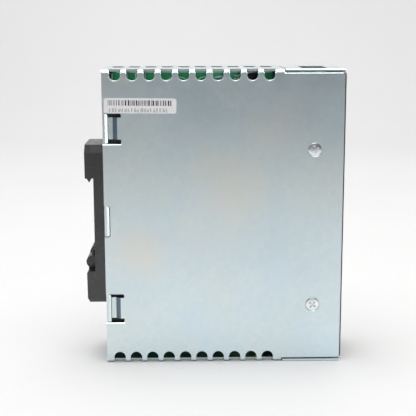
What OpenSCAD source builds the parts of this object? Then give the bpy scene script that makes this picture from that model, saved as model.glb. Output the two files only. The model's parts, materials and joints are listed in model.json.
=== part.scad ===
/* [Case] */
// Width of the case, from the near side sheet to the far one
case_w = 32; // [32:0.5:36]
// Height of the case
case_h = 125.2; // [122:0.2:130]
// Depth of the sheet metal case, without the rail clip
case_d = 100; // [98:1:110]
// Thickness of the zinc plated sheet
sheet_t = 1; // [0.8:0.1:1]
// Outer radius of the sheet's bends
bend_r = 2; // [1.8:0.1:2.4]
// Length of the front zone that the front frame's own sheet closes
front_zone = 25; // [24:0.5:26]

/* [Vents] */
// Number of vent slots in each row
vent_count = 10; // [4:1:10]
// Width of a vent slot
vent_w = 4.9; // [4:0.1:5.2]
// Distance from one slot to the next
vent_pitch = 7.05; // [6.8:0.05:7.05]
// Distance of the first slot's middle from the rear face
vent_first = 5.45; // [5:0.05:5.6]
// How far a slot comes down the side sheet
vent_drop = 4.8; // [4:0.1:6]

/* [Rail clip] */
// Width of the rail clip across the case
clip_w = 23; // [22:0.5:25]
// Height of the clip's lower end above the case's foot
clip_z0 = 25.6; // [25.2:0.2:26.4]
// Height of the clip's upper end
clip_z1 = 93.8; // [93:0.2:95]
// Height of the seat for the rail's upper edge
rail_top = 79.6; // [79.5:0.1:79.8]
// Width of the rail that the clip takes
rail_w = 35; // [34.8:0.1:35.2]
// Thickness of the clip's back plate
clip_plate = 4.7; // [4.5:0.1:4.8]
// How far the latch reaches out behind the case
clip_out = 9; // [8.9:0.1:9.2]
// How far the latch slides down to let go of the rail
latch_travel = 5; // [4.9:0.1:5.1]

/* [Terminals] */
// Number of output poles
out_poles = 4; // [2:1:4]
// Distance between output poles
out_pitch = 5; // [4.8:0.1:5]
// Number of input poles
in_poles = 3; // [2:1:3]
// Distance between input poles
in_pitch = 6.6; // [6.2:0.1:6.6]
// How far a clamp cage moves from open to closed
clamp_travel = 2.5; // [2:0.1:2.5]

/* [Hidden] */
$fn = 48;
fit_gap = 0.05;
run_gap = 0.3;
xn = -case_w / 2;
xf = case_w / 2;
t = sheet_t;
film_t = 0.5;
rear_y = (case_d + film_t + clip_out) / 2 - clip_out;
roof = case_h - t;
split_s = case_d - front_zone;

// side screws and the rear edge's windows
screw_s = case_d - 12;
screw_z = [25.4, 92];
window_z = [24.1, 100.9];
window_h = 12.6;
window_d = 7.7;
notch_z = 61.9;
notch_h = 13.4;
notch_d = 2.45;
notch_r = 1.1;
lug_reach = 2.1;
lug_slope = 1.9;
tab_end = lug_reach + 0.15;
tab_set = 1.25;
tab_low = 1.9;
tab_high = 1.6;
lip_cut = 0.35;

// the side sheet's edge in the front zone
seam = 0.3;
front_corner_r = 1.2;
edge_roll = 0.5;

// screws that hold the rail clip
clip_screw_z = [58, 73];

// boards
board_t = 1.6;
board_x = 9.8;
board_back = 1.9;
board_z = [3, 123.4];
spacer_at = [[8, 10], [8, 112], [72, 10], [72, 112]];
face_board_s = 80.2;
front_in = case_d - t;

// terminal blocks
block_s = [82, 98.6];
out_z = [105.2, 123.6];
in_z = [1.6, 20];
cage_w = 3.8;
cage_s = [83.4, 93.2];
bar_s = 87.8;
out_x0 = -10.1;
in_x0 = -10.0;
clamp_r = 1.25;
head_r = 1.8;

// voltage trimmer and status lamp, as [x, z] on the front
trim_at = [2.5, 96];
lamp_at = [-5.5, 96];
trim_hole_r = 2.8;

// ---- helpers: s runs forward from the rear face, x across, z up ----

function sy(s) = rear_y - s;

module blk(x, s, z) {
    translate([x[0], sy(s[1]), z[0]])
        cube([x[1] - x[0], s[1] - s[0], z[1] - z[0]]);
}

// cylinder along x, from depth x0 to x1
module rod_x(x0, x1, s, z, r, r2 = -1) {
    translate([x0, sy(s), z])
        rotate([0, 90, 0])
            cylinder(h = x1 - x0, r1 = r, r2 = r2 < 0 ? r : r2);
}

// cylinder along y, from s0 forward to s1
module rod_s(x, s0, s1, z, r, r2 = -1) {
    translate([x, sy(s0), z])
        rotate([90, 0, 0])
            cylinder(h = s1 - s0, r1 = r, r2 = r2 < 0 ? r : r2);
}

module rod_z(x, s, z0, z1, r, r2 = -1) {
    translate([x, sy(s), z0])
        cylinder(h = z1 - z0, r1 = r, r2 = r2 < 0 ? r : r2);
}

// outline in x and z, extruded forward from s0 to s1
module along_s(s0, s1) {
    translate([0, sy(s0), 0])
        rotate([90, 0, 0])
            linear_extrude(s1 - s0)
                children();
}

// outline of distance out behind the rear face and of z, extruded along x
module along_x(x0, x1) {
    translate([x0, rear_y, 0])
        rotate([90, 0, 90])
            linear_extrude(x1 - x0)
                children();
}

// quarter of a bend, centred at the origin, in the quadrant of +x and +y
module quarter_ring(ro, ri) {
    intersection() {
        difference() {
            circle(ro);
            circle(ri);
        }
        square(ro + 1);
    }
}

// rounded box along s: a block with its four edges along y rounded
module pill_box(x, s, z, r) {
    along_s(s[0], s[1]) {
        translate([x[0] + r, z[0]])
            square([x[1] - x[0] - 2 * r, z[1] - z[0]]);
        translate([x[0], z[0] + r])
            square([x[1] - x[0], z[1] - z[0] - 2 * r]);
        for (px = [x[0] + r, x[1] - r], pz = [z[0] + r, z[1] - r])
            translate([px, pz])
                circle(r);
    }
}

// prism that takes a 45 degree edge of that width off a sheet's upper outer corner, along y
module edge_cut(x, s, z, width) {
    clear = 0.5;
    along_s(s[0], s[1])
        polygon([
            [x - clear, z - width - clear], [x + width + clear, z + clear],
            [x - clear, z + clear]
        ]);
}

// ---- case ----

// one bent sheet: wall on the near side with both flanges, as an outline in x and z
module cover_outline(reach) {
    for (m = [0, 1])
        translate([0, m * case_h])
            mirror([0, m]) {
                translate([xn + bend_r, bend_r])
                    rotate(180)
                        quarter_ring(bend_r, bend_r - t);
                translate([xn + bend_r, 0])
                    square([reach - xn - bend_r, t]);
            }
    translate([xn, bend_r])
        square([t, case_h - 2 * bend_r]);
}

// vents that wrap the near bend, at the roof and mirrored at the floor
module edge_vents() {
    for (i = [0:vent_count - 1], m = [0, 1])
        translate([0, 0, m * case_h])
            mirror([0, 0, m]) {
                s = vent_first + i * vent_pitch;
                z = vent_drop - vent_w / 2;
                blk([xn - 1, xn + 2.7], [s - vent_w / 2, s + vent_w / 2], [-1, z]);
                rod_x(xn - 1, xn + t + 0.6, s, z, vent_w / 2);
            }
}

// second row of slots, in the roof and floor flanges
module flange_vents() {
    for (i = [0:vent_count - 1], z = [-1, roof - 1]) {
        s = vent_first + i * vent_pitch;
        r = vent_w / 2;
        blk([xf - 12.5, xf - 7], [s - r, s + r], [z, z + t + 2]);
        rod_z(xf - 12.5, s, z, z + t + 2, r);
        rod_z(xf - 7, s, z, z + t + 2, r);
    }
}

module window_cut(zc) {
    r = 0.6;
    blk([xn - 1, xn + t + 1], [-1, window_d - r], [zc - window_h / 2, zc + window_h / 2]);
    blk([xn - 1, xn + t + 1], [-1, window_d], [zc - window_h / 2 + r, zc + window_h / 2 - r]);
    for (e = [-1, 1])
        rod_x(xn - 1, xn + t + 1, window_d - r, zc + e * (window_h / 2 - r), r);
    // the lower lip is broken at 45 degrees
    edge_cut(xn, [-1, window_d], zc - window_h / 2, lip_cut);
}

// cut for the middle lug, round at its two inner corners
module notch_cut() {
    x = [xn - 1, xn + t + 1];
    z0 = notch_z - notch_h / 2;
    z1 = notch_z + notch_h / 2;
    blk(x, [-1, notch_d - notch_r], [z0, z1]);
    blk(x, [-1, notch_d], [z0 + notch_r, z1 - notch_r]);
    for (z = [z0 + notch_r, z1 - notch_r])
        rod_x(x[0], x[1], notch_d - notch_r, z, notch_r);
}

// joggled tab: flat, set in under the chassis lug, then a ramp back to the sheet
module window_tab(zc) {
    translate([0, 0, zc - window_h / 2 + tab_low])
        linear_extrude(window_h - tab_low - tab_high)
            polygon([
                [xn, sy(window_d)], [xn, sy(6.2)], [xn + tab_set, sy(4.3)],
                [xn + tab_set, sy(tab_end)], [xn + tab_set + t, sy(tab_end)],
                [xn + tab_set + t, sy(4.6)], [xn + t, sy(6.5)], [xn + t, sy(window_d)]
            ]);
}

// seat of a flush side screw: a cone, then the bore of its thread
module screw_seat(z) {
    rod_x(xn - 0.01, xn + 1.56, screw_s, z, 3.11, 1.54);
    rod_x(xn + 1.5, xn + 12, screw_s, z, 1.5);
}

// the side sheet's flat part in the front zone: its free edges are rolled off on the
// outside, and its two front corners are round
module front_sheet() {
    r = front_corner_r;
    e = edge_roll;
    z0 = t + seam;
    z1 = roof - seam;
    // from the lower corner's middle to the upper one's, with the front edge rolled off
    translate([0, 0, z0 + r])
        linear_extrude(z1 - z0 - 2 * r)
            polygon([
                [xn, sy(split_s)], [xn, sy(case_d - e)], [xn + e, sy(case_d)],
                [xn + t, sy(case_d)], [xn + t, sy(split_s)]
            ]);
    // beyond the corners' middles, with the upper and the lower edge rolled off
    along_s(split_s, case_d - r)
        for (m = [0, 1])
            translate([0, m * case_h])
                mirror([0, m])
                    polygon([
                        [xn, z0 + r], [xn, z0 + e], [xn + e, z0], [xn + t, z0], [xn + t, z0 + r]
                    ]);
    for (z = [z0 + r, z1 - r]) {
        rod_x(xn, xn + e, case_d - r, z, r - e, r);
        rod_x(xn + e, xn + t, case_d - r, z, r);
    }
}

module side_cover() {
    color([0.78, 0.81, 0.83])
        difference() {
            union() {
                difference() {
                    union() {
                        along_s(0, split_s)
                            cover_outline(xf - t - 0.1);
                        front_sheet();
                    }
                    for (zc = window_z)
                        window_cut(zc);
                    notch_cut();
                }
                for (zc = window_z)
                    window_tab(zc);
            }
            edge_vents();
            flange_vents();
            for (z = screw_z)
                screw_seat(z);
        }
}

// U of rear wall, far wall and front wall, as an outline in x and y
module chassis_plan(x0) {
    translate([xf - bend_r, sy(bend_r)])
        quarter_ring(bend_r, bend_r - t);
    translate([xf - bend_r, sy(case_d - bend_r)])
        rotate(-90)
            quarter_ring(bend_r, bend_r - t);
    translate([x0, sy(t)])
        square([xf - bend_r - x0, t]);
    translate([x0, sy(case_d)])
        square([xf - bend_r - x0, t]);
    translate([xf - t, sy(case_d - bend_r)])
        square([t, case_d - 2 * bend_r]);
}

// roof strip and floor strip of the front zone, with their outer edges rolled off, in x and z
module strip_flats() {
    x0 = xn + 0.15;
    r = edge_roll;
    for (m = [0, 1])
        translate([0, m * case_h])
            mirror([0, m]) {
                translate([x0 + r, 0])
                    square([xf - bend_r - x0 - r, t]);
                translate([x0, r])
                    square([r, t - r]);
                translate([x0 + r, r])
                    circle(r);
            }
}

// far wall of the front zone and the two bends that join it to the strips, in x and z
module strip_bends() {
    for (m = [0, 1])
        translate([0, m * case_h])
            mirror([0, m])
                translate([xf - bend_r, bend_r])
                    rotate(-90)
                        quarter_ring(bend_r, bend_r - t);
    translate([xf - t, bend_r])
        square([t, case_h - 2 * bend_r]);
}

// lug of the rear wall: it slopes out and forward into a cut of the side sheet, and its
// two free corners are round
module rear_lug(zc, h, r) {
    inner = xn + t + 1;
    x = [xn - 1, inner + 1];
    z0 = zc - h / 2;
    z1 = zc + h / 2;
    intersection() {
        translate([0, 0, z0])
            linear_extrude(h)
                polygon([
                    [inner, sy(0)], [xn + lug_slope, sy(0)], [xn, sy(lug_reach)],
                    [xn + t, sy(lug_reach)], [inner, sy(t + 0.2)]
                ]);
        union() {
            blk(x, [-1, lug_reach - r], [z0 - 1, z1 + 1]);
            blk(x, [-1, lug_reach + 1], [z0 + r, z1 - r]);
            for (z = [z0 + r, z1 - r])
                rod_x(x[0], x[1], lug_reach - r, z, r);
        }
    }
}

module chassis() {
    x0 = xn + t + fit_gap;
    color([0.74, 0.76, 0.77])
        difference() {
            union() {
                translate([0, 0, t + 0.1])
                    linear_extrude(case_h - 2 * t - 0.2)
                        chassis_plan(x0);
                blk([xf - t, xf], [bend_r, split_s + 0.4], [0, case_h]);
                along_s(split_s + 0.4, case_d)
                    strip_flats();
                along_s(split_s + 0.4, case_d - bend_r)
                    strip_bends();
                for (zc = window_z)
                    rear_lug(zc, window_h - 0.6, 0.4);
                rear_lug(notch_z, notch_h - 0.5, notch_r - 0.2);
                // flanges behind the side sheet, which the side screws thread into
                for (z = screw_z) {
                    blk([x0, x0 + t], [case_d - 18, front_in + 0.1], [z - 7, z + 7]);
                    rod_x(x0, x0 + 2.4, screw_s, z, 2.6);
                }
                // raised threads that the clip's screws turn into
                for (z = clip_screw_z)
                    rod_s(0, 0.5, 2.6, z, 2.6);
            }
            for (z = screw_z)
                screw_seat(z);
            for (z = clip_screw_z)
                rod_s(0, -1, 3, z, 1.5);
            // clear of the side sheet's bends at the rear corners
            for (z = [0, case_h - bend_r])
                blk([xn, xn + bend_r], [-1, t + 0.5], [z, z + bend_r]);
            // wire entries in the roof and the floor strips
            blk([out_x0 + 0.3, board_x - 0.4], [82.9, 93.4], [roof - 1, case_h + 1]);
            blk([out_x0 + 0.3, board_x - 0.4], [82.9, 93.4], [-1, t + 1]);
            // windows for the two terminal blocks
            blk([out_x0 - 0.4, board_x + 0.4], [front_in - 1, case_d + 1],
                [out_z[0] - 0.4, out_z[1] + 0.2]);
            blk([out_x0 - 0.4, board_x + 0.4], [front_in - 1, case_d + 1],
                [in_z[0] - 0.2, in_z[1] + 0.4]);
            rod_s(trim_at[0], front_in - 1, case_d + 1, trim_at[1], trim_hole_r);
            rod_s(lamp_at[0], front_in - 1, case_d + 1, lamp_at[1], 1.8);
            // holes of the pressed board spacers
            for (p = spacer_at)
                rod_x(xf - t - 1, xf + 1, p[0], p[1], 2);
        }
}

module front_film() {
    color([0.17, 0.18, 0.2])
        difference() {
            pill_box([xn + 0.6, xf - 1.2], [case_d, case_d + film_t], [1.6, case_h - 1.6], 1.5);
            blk([out_x0 - 0.4, board_x + 0.4], [case_d - 1, case_d + 1],
                [out_z[0] - 0.4, out_z[1] - 1]);
            blk([out_x0 - 0.4, board_x + 0.4], [case_d - 1, case_d + 1],
                [in_z[0] + 1, in_z[1] + 0.4]);
            rod_s(trim_at[0], case_d - 1, case_d + 1, trim_at[1], trim_hole_r);
            rod_s(lamp_at[0], case_d - 1, case_d + 1, lamp_at[1], 1.8);
        }
}

// cross recess along x, its mouth at depth x0
module cross_x(x0, x1, s, z, arm, thick) {
    blk([x0, x1], [s - arm, s + arm], [z - thick / 2, z + thick / 2]);
    blk([x0, x1], [s - thick / 2, s + thick / 2], [z - arm, z + arm]);
}

module cross_s(x, s0, s1, z, arm, thick) {
    blk([x - arm, x + arm], [s0, s1], [z - thick / 2, z + thick / 2]);
    blk([x - thick / 2, x + thick / 2], [s0, s1], [z - arm, z + arm]);
}

module side_screws() {
    color([0.82, 0.83, 0.85])
        for (z = screw_z)
            difference() {
                union() {
                    rod_x(xn + 0.05, xn + 0.2, screw_s, z, 2.85);
                    rod_x(xn + 0.2, xn + 1.6, screw_s, z, 2.85, 1.45);
                    rod_x(xn + 1.55, xn + 6, screw_s, z, 1.45);
                }
                cross_x(xn - 1, xn + 1.1, screw_s, z, 1.6, 0.62);
            }
}

// flat sticker with round corners on the near side sheet
module serial_sticker() {
    r = 1;
    color([0.96, 0.96, 0.95])
        translate([xn, sy(15.7), 110.4])
            rotate([0.65, 0, 0])
                translate([-0.12, -14.9, -3.1]) {
                    translate([0, r, 0])
                        cube([0.12, 29.8 - 2 * r, 6.2]);
                    translate([0, 0, r])
                        cube([0.12, 29.8, 6.2 - 2 * r]);
                    for (y = [r, 29.8 - r], z = [r, 6.2 - r])
                        translate([0, y, z])
                            rotate([0, 90, 0])
                                cylinder(h = 0.12, r = r);
                }
}

module rating_sticker() {
    color([0.9, 0.9, 0.88])
        blk([xf, xf + 0.12], [18, 66], [30, 98]);
}

module insulating_sheet() {
    color([0.93, 0.92, 0.86])
        difference() {
            blk([xf - t - 0.5, xf - t - 0.1], [2.2, 80], [2.4, 122.4]);
            for (p = spacer_at)
                rod_x(xf - t - 1, xf, p[0], p[1], 3);
        }
}

// ---- rail clip ----

// outlines here run back from the rear face (first) and up (second)
slot_w = 13;
latch_w = slot_w - 2 * run_gap;
key_w = slot_w + 4;
spring_z0 = 29.5;
latch_foot = 38;
latch_tail = 35;
latch_top = 52.4;
foot_top = 39.4;
rail_t = 1.1;
rail_low = rail_top - rail_w;
nose_r = 2.8;

module clip_outline() {
    polygon([
        [0, clip_z0], [7.4, clip_z0], [8.2, clip_z0 + 2], [8.3, foot_top - 0.8], [7.7, foot_top],
        [clip_plate, foot_top], [clip_plate, rail_top], [5.7, rail_top],
        [6.4, rail_top - 1.8], [7.45, rail_top - 0.1], [8.25, rail_top - 0.1],
        [8.3, clip_z1 - 3.4], [8.1, clip_z1], [0, clip_z1]
    ]);
}

module rail_clip() {
    w = clip_w / 2;
    color([0.13, 0.13, 0.14])
        difference() {
            intersection() {
                along_x(-w, w)
                    clip_outline();
                // both ends are narrowed by a chamfer at each side
                along_s(-clip_out, 0)
                    polygon([
                        [-w + 1, clip_z0], [-w, clip_z0 + 1.8], [-w, clip_z1 - 3.4],
                        [-w + 1.5, clip_z1], [w - 1.5, clip_z1], [w, clip_z1 - 3.4],
                        [w, clip_z0 + 1.8], [w - 1, clip_z0]
                    ]);
            }
            // channel of the latch, undercut at both sides
            blk([-slot_w / 2, slot_w / 2], [-clip_out - 1, -1],
                [latch_tail - latch_travel - 0.4, latch_top + run_gap]);
            blk([-key_w / 2, key_w / 2], [-2.9, -1], [spring_z0, latch_top + run_gap]);
            blk([-slot_w / 2, slot_w / 2], [-4.6, -1], [spring_z0, latch_top]);
            // screw holes with flat seats
            for (z = clip_screw_z) {
                rod_s(0, -10, 1, z, 1.7);
                rod_s(0, -10, -2, z, 3.1);
            }
            // hollows that keep the hook's wall even
            for (e = [-1, 1])
                blk([e * 5 - 3.4, e * 5 + 3.4], [-6.6, 1], [84, 91.5]);
        }
}

// a nose that stands behind the rail's lower lip, above a thick round grip
module latch_outline() {
    difference() {
        union() {
            polygon([
                [3.9, latch_tail], [8, latch_tail], [8, 40.6], [6.6, rail_low - 2.2],
                [6.6, rail_low + 1.4], [7, rail_low + 3.2], [clip_plate + rail_t, rail_low + 4.8],
                [clip_plate, rail_low], [3.9, rail_low]
            ]);
            translate([clip_out - nose_r, rail_low - 2.2])
                circle(nose_r);
            translate([6.35, rail_low + 2.5])
                circle(0.9);
        }
        translate([clip_plate - 2, rail_low])
            square([rail_t + 2, 6]);
    }
}

module rail_latch() {
    w = latch_w / 2;
    color([0.1, 0.1, 0.11])
        difference() {
            union() {
                along_x(-w, w)
                    latch_outline();
                blk([-w, w], [-3.95, -1.3], [latch_foot, latch_top]);
                blk([-key_w / 2 + run_gap, key_w / 2 - run_gap], [-2.6, -1.3],
                    [latch_foot, latch_top]);
            }
            // pocket that a screwdriver's tip pushes down in
            blk([-2.5, 2.5], [-clip_out, -5.6], [36.6, 38.2]);
        }
}

// compression spring between the channel's floor and the latch
module latch_spring() {
    turns = 6;
    steps = 12;
    wire_r = 0.22;
    r = 0.9;
    z0 = spring_z0 + wire_r + 0.02;
    z1 = latch_foot - wire_r - 0.02;
    color([0.7, 0.71, 0.73])
        translate([0, sy(-2.4), 0])
            polyhedron(
                points = [
                    for (i = [0:turns * steps])
                        let (a = 360 * i / steps, z = z0 + (z1 - z0) * i / (turns * steps))
                        for (k = [0:5])
                            let (b = 60 * k)
                            [(r + wire_r * cos(b)) * cos(a), (r + wire_r * cos(b)) * sin(a),
                             z + wire_r * sin(b)]
                ],
                faces = concat(
                    [[for (k = [0:5]) k]],
                    [for (i = [0:turns * steps - 1], k = [0:5])
                        [i * 6 + k, (i + 1) * 6 + k, (i + 1) * 6 + (k + 1) % 6]],
                    [for (i = [0:turns * steps - 1], k = [0:5])
                        [i * 6 + k, (i + 1) * 6 + (k + 1) % 6, i * 6 + (k + 1) % 6]],
                    [[for (k = [5:-1:0]) turns * steps * 6 + k]]
                )
            );
}

module clip_screws() {
    color([0.8, 0.8, 0.82])
        for (z = clip_screw_z)
            difference() {
                union() {
                    rod_s(0, -3.7, -2.05, z, 2.75);
                    rod_s(0, -2.1, 2.4, z, 1.45);
                }
                cross_s(0, -4, -2.8, z, 1.5, 0.6);
            }
}

// ---- terminal blocks ----

// a block along x: poles in a row, wires from the roof side (up = 1) or the floor side (up = 0)
module terminal_housing(x0, poles, pitch, z, up) {
    h = z[1] - z[0];
    translate([0, 0, up ? 0 : z[0] + z[1]])
        mirror([0, 0, up ? 0 : 1])
            difference() {
                union() {
                    blk([x0, x0 + poles * pitch], block_s, z);
                    blk([x0, x0 + poles * pitch], [block_s[0], block_s[1] + 0.9],
                        [z[0] + 3.4, z[1] - 3.2]);
                }
                for (i = [0:poles - 1]) {
                    x = x0 + (i + 0.5) * pitch;
                    c = cage_w / 2 + 0.25;
                    // chamber of the cage, with the wire's way in from above
                    blk([x - c, x + c], [cage_s[0] - 0.3, cage_s[1] + clamp_travel + 0.2],
                        [z[1] - 11.2, z[1] - 4.6]);
                    blk([x - 1.7, x + 1.7], [84.5, 87.7], [z[1] - 5, z[1] + 1]);
                    // mouth of the wire's way in
                    blk([x - 2, x + 2], [84, 88.6], [z[1] - 1.4, z[1] + 1]);
                    // way of the screw and its head
                    rod_s(x, 90, 100, z[1] - 7.9, head_r + 0.25);
                    // slot of the contact bar
                    blk([x - 1.15, x + 1.15], [bar_s - 0.05, bar_s + 1.05], [z[0] + 2.4, z[1] - 4]);
                    blk([x - 0.55, x + 0.55], [block_s[0] - 1, bar_s + 1.05],
                        [z[0] + 2.4, z[0] + 3.6]);
                }
            }
}

module contact_bars(x0, poles, pitch, z, up) {
    translate([0, 0, up ? 0 : z[0] + z[1]])
        mirror([0, 0, up ? 0 : 1])
            for (i = [0:poles - 1]) {
                x = x0 + (i + 0.5) * pitch;
                blk([x - 1.1, x + 1.1], [bar_s, bar_s + 1], [z[0] + 2.5, z[1] - 4.1]);
                blk([x - 0.5, x + 0.5], [face_board_s - 1.6, bar_s + 1],
                    [z[0] + 2.5, z[0] + 3.5]);
            }
}

// axis height of a block's screws
function screw_axis_z(z, up) = up ? z[1] - 7.9 : z[0] + 7.9;

module clamp_screw(x, z) {
    difference() {
        union() {
            rod_s(x, 95.9, 97.9, z, head_r);
            rod_s(x, bar_s + 1.15, 96, z, clamp_r);
        }
        blk([x - 2, x + 2], [97, 98], [z - 0.3, z + 0.3]);
        blk([x - 0.3, x + 0.3], [97, 98], [z - 1.2, z + 1.2]);
    }
}

module clamp_cage(x, z) {
    difference() {
        blk([x - cage_w / 2, x + cage_w / 2], cage_s, [z - 2.5, z + 2.5]);
        blk([x - cage_w / 2 + 0.45, x + cage_w / 2 - 0.45], [cage_s[0] + 1, cage_s[1] - 1],
            [z - 3, z + 3]);
        rod_s(x, cage_s[0] + 2, cage_s[1] + 1, z, clamp_r + fit_gap);
    }
}

module output_terminal_housing() {
    color([0.13, 0.3, 0.2])
        terminal_housing(out_x0, out_poles, out_pitch, out_z, true);
}

module output_contact_bars() {
    color([0.78, 0.74, 0.66])
        contact_bars(out_x0, out_poles, out_pitch, out_z, true);
}

module output_screw(i) {
    color([0.75, 0.75, 0.76])
        clamp_screw(out_x0 + (i - 0.5) * out_pitch, screw_axis_z(out_z, true));
}

module output_cage(i) {
    color([0.7, 0.7, 0.68])
        clamp_cage(out_x0 + (i - 0.5) * out_pitch, screw_axis_z(out_z, true));
}

module input_terminal_housing() {
    color([0.13, 0.3, 0.2])
        terminal_housing(in_x0, in_poles, in_pitch, in_z, false);
}

module input_contact_bars() {
    color([0.78, 0.74, 0.66])
        contact_bars(in_x0, in_poles, in_pitch, in_z, false);
}

module input_screw(i) {
    color([0.75, 0.75, 0.76])
        clamp_screw(in_x0 + (i - 0.5) * in_pitch, screw_axis_z(in_z, false));
}

module input_cage(i) {
    color([0.7, 0.7, 0.68])
        clamp_cage(in_x0 + (i - 0.5) * in_pitch, screw_axis_z(in_z, false));
}

// ---- boards ----

module face_board(x0, poles, pitch, z, pin_z) {
    color([0.1, 0.38, 0.22])
        difference() {
            blk([-10.2, 13.8], [face_board_s - board_t, face_board_s], z);
            for (i = [0:poles - 1])
                blk([x0 + (i + 0.5) * pitch - 0.55, x0 + (i + 0.5) * pitch + 0.55],
                    [face_board_s - 3, face_board_s + 1], [pin_z - 0.55, pin_z + 0.55]);
        }
}

module output_board() {
    face_board(out_x0, out_poles, out_pitch, [91, out_z[1] - 0.6], out_z[0] + 3);
}

module input_board() {
    face_board(in_x0, in_poles, in_pitch, [in_z[0] + 0.4, in_z[1] + 1], in_z[1] - 3);
}

module main_board() {
    color([0.1, 0.42, 0.24])
        difference() {
            blk([board_x, board_x + board_t], [board_back, face_board_s - board_t - fit_gap],
                board_z);
            for (p = spacer_at)
                rod_x(board_x - 1, board_x + 3, p[0], p[1], 1.6);
        }
}

module board_spacers() {
    color([0.76, 0.76, 0.77])
        for (p = spacer_at)
            difference() {
                union() {
                    rod_x(board_x + board_t, xf - t, p[0], p[1], 2.7);
                    rod_x(xf - t - 0.1, xf - 0.1, p[0], p[1], 1.98);
                }
                rod_x(board_x, xf - 0.7, p[0], p[1], 1.3);
            }
}

module board_screws() {
    color([0.8, 0.8, 0.82])
        for (p = spacer_at)
            difference() {
                union() {
                    rod_x(board_x - 1.9, board_x, p[0], p[1], 2.6);
                    rod_x(board_x - 0.1, board_x + 4.6, p[0], p[1], 1.25);
                }
                cross_x(board_x - 3, board_x - 0.9, p[0], p[1], 1.5, 0.55);
            }
}

// right-angled pins that join the face boards to the main board
module board_links() {
    color([0.82, 0.76, 0.5])
        for (z = [107, 110, 113, 116, 6, 9, 12, 15]) {
            blk([board_x - 3, board_x - 0.02], [76.4, 77], [z - 0.3, z + 0.3]);
            blk([board_x - 3, board_x - 2.4], [76.4, face_board_s - 1.62], [z - 0.3, z + 0.3]);
        }
}

// lead wires from a component to the board's face
module leads(x, places, r = 0.3) {
    for (p = places)
        rod_x(x, board_x - 0.02, p[0], p[1], r);
}

// where the parts stand on the main board, as [s, z]
fuse_at = [66, 15.2];
varistor_at = [60, 34];
thermistor_at = [68, 42];
y_capacitor_at = [[50, 119.9], [50, 93.6]];
ring_at = [34, 16];
bulk_at = [24, 42];
can_at = [[70, 56], [70, 68.5], [69, 84], [62.4, 118.2]];
choke_at = [69, 96.5];
opto_s = [34, 44];
opto_z = 100.3;
chip_at = [19.8, 100.8];
face_gap = 0.02;
pin_r = 0.35;

module fuse() {
    half = 11.2;
    cap = 3.2;
    x = board_x - 4.6;
    s = fuse_at[0];
    z = fuse_at[1];
    color([0.85, 0.84, 0.78]) {
        rod_z(x, s, z - half + cap, z + half - cap, 2.2);
        rod_z(x, s, z - half, z - half + cap, 2.5);
        rod_z(x, s, z + half - cap, z + half, 2.5);
        leads(x, [for (e = [-1, 1]) [s, z + e * (half - cap / 2)]], 0.4);
    }
}

// a disc that stands on the board on its edge, its leads down into the board
module standing_disc(p, r, thick, lift) {
    x = board_x - lift - r;
    rod_z(x, p[0], p[1] - thick / 2, p[1] + thick / 2, r);
    for (e = [-1, 1])
        rod_x(x + r * 0.6, board_x - face_gap, p[0] + e * r * 0.55, p[1], pin_r);
}

module surge_varistor() {
    color([0.2, 0.42, 0.72])
        standing_disc(varistor_at, 6, 4.2, 2);
}

module inrush_thermistor() {
    color([0.18, 0.2, 0.19])
        standing_disc(thermistor_at, 5, 3.6, 2);
}

module x_capacitor() {
    s = [52, 60.5];
    z = [8, 26];
    lead_in = 2.5;
    color([0.86, 0.68, 0.2]) {
        pill_box([board_x - 15.6, board_x - 0.6], s, z, 0.8);
        leads(board_x - 1, [[56, z[0] + lead_in], [56, z[1] - lead_in]], 0.4);
    }
}

module y_capacitors() {
    color([0.45, 0.66, 0.86])
        for (p = y_capacitor_at)
            standing_disc(p, 4.6, 3.2, 3.6);
}

// ring core and its two windings, around an axis along z
ring_x = board_x - 10.2;
ring_outer = 9;
ring_bore = 4.6;
ring_h = 7;
coat = 0.9;
bare = 0.1;

module filter_choke_core() {
    color([0.2, 0.2, 0.21])
        translate([ring_x, sy(ring_at[0]), ring_at[1]])
            difference() {
                cylinder(h = ring_h, r = ring_outer, center = true);
                cylinder(h = ring_h + 1, r = ring_bore, center = true);
            }
}

module filter_choke_windings() {
    span = 112;
    color([0.72, 0.4, 0.2])
        translate([ring_x, sy(ring_at[0]), ring_at[1]])
            for (m = [0, 1])
                rotate([0, 0, 180 * m - span / 2])
                    rotate_extrude(angle = span)
                        difference() {
                            translate([ring_bore - bare - coat, -ring_h / 2 - 1])
                                square([ring_outer - ring_bore + bare + 2 * coat, ring_h + 2]);
                            translate([ring_bore - bare, -ring_h / 2 - fit_gap])
                                square([ring_outer - ring_bore + 2 * bare, ring_h + 2 * fit_gap]);
                        }
}

module bridge_rectifier() {
    s = [42.5, 46];
    color([0.14, 0.14, 0.15]) {
        blk([board_x - 16, board_x - 3.5], s, [28, 50]);
        leads(board_x - 4, [for (z = [30.5, 36.2, 41.8, 47.5]) [44.2, z]], 0.5);
    }
}

module bulk_capacitor() {
    r = 11;
    top = board_x - 22;
    color([0.12, 0.13, 0.16]) {
        rod_x(top, board_x - 0.8, bulk_at[0], bulk_at[1], r);
        rod_x(top - 0.6, top - fit_gap, bulk_at[0], bulk_at[1], 9.6);
        rod_x(top - 0.2, top + 0.1, bulk_at[0], bulk_at[1], 9.9);
        leads(board_x - 1, [for (e = [-4, 4]) [bulk_at[0] + e, bulk_at[1]]], 0.5);
    }
}

// a plate that stands on the board, with a fin at each end
module heatsink(reach, s, z, fin_reach, fin) {
    x = [board_x - reach, board_x - 0.4];
    blk(x, s, z);
    for (z0 = [z[0] + fin[0], z[1] - fin[1]])
        blk(x, [s[1] - 0.1, s[1] + fin_reach], [z0, z0 + 2]);
}

module input_heatsink() {
    color([0.72, 0.73, 0.75])
        heatsink(20, [46.6, 48.6], [26, 62], 2.9, [0, 3]);
}

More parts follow.
